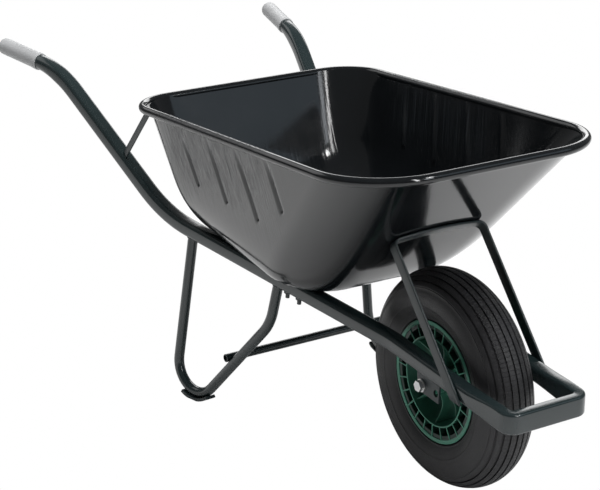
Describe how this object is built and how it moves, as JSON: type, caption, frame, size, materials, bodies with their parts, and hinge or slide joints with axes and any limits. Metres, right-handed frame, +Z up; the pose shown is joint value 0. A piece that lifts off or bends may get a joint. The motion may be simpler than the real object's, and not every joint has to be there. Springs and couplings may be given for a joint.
{
  "type": "wheelbarrow",
  "caption": "Single-wheel barrow: pressed steel tray on a bent tube frame with leg loops, front brace, plastic grips and a pneumatic wheel that turns on its axle.",
  "frame": {"origin": "on the ground, in the middle of the barrow's length and width", "axes": "+X towards the wheel, +Y to the barrow's left, +Z up"},
  "size_m": [1.4399, 0.683, 0.63],
  "materials": {
    "frame_paint": "glossy very dark green enamel on steel tube",
    "tray_paint": "high-gloss black enamel on deep-drawn sheet",
    "grip_plastic": "satin light grey moulded plastic",
    "zinc": "bright zinc plating",
    "rim_plastic": "satin mid-green moulded plastic",
    "bush_plastic": "matt black plastic",
    "tyre_rubber": "ribbed black rubber with a slight bloom",
    "tube_rubber": "smooth black rubber"
  },
  "bodies": {
    "barrow": {"frame_tube": "frame_paint", "right_grip": "grip_plastic", "left_grip": "grip_plastic", "right_leg": "frame_paint", "left_leg": "frame_paint", "right_foot_plate": "frame_paint", "left_foot_plate": "frame_paint", "leg_cross_tube": "frame_paint", "front_brace": "frame_paint", "right_tray_strap": "frame_paint", "left_tray_strap": "frame_paint", "right_axle_plate": "frame_paint", "left_axle_plate": "frame_paint", "tray": "tray_paint", "floor_bolts": "zinc", "floor_nuts": "zinc", "axle_bolt": "zinc", "axle_nut": "zinc", "axle_washers": "zinc", "axle_sleeve": "zinc"},
    "wheel": {"wheel_rim": "rim_plastic", "right_hub_bush": "bush_plastic", "left_hub_bush": "bush_plastic", "tyre": "tyre_rubber", "inner_tube": "tube_rubber", "valve_stem": "tube_rubber", "valve_cap": "bush_plastic"}
  },
  "joints": [
    {"name": "wheel_spin", "type": "hinge", "parent": "barrow", "child": "wheel", "pos_m": [0.449, 0, 0.2], "axis": [0, 1, 0], "continuous": true}
  ]
}
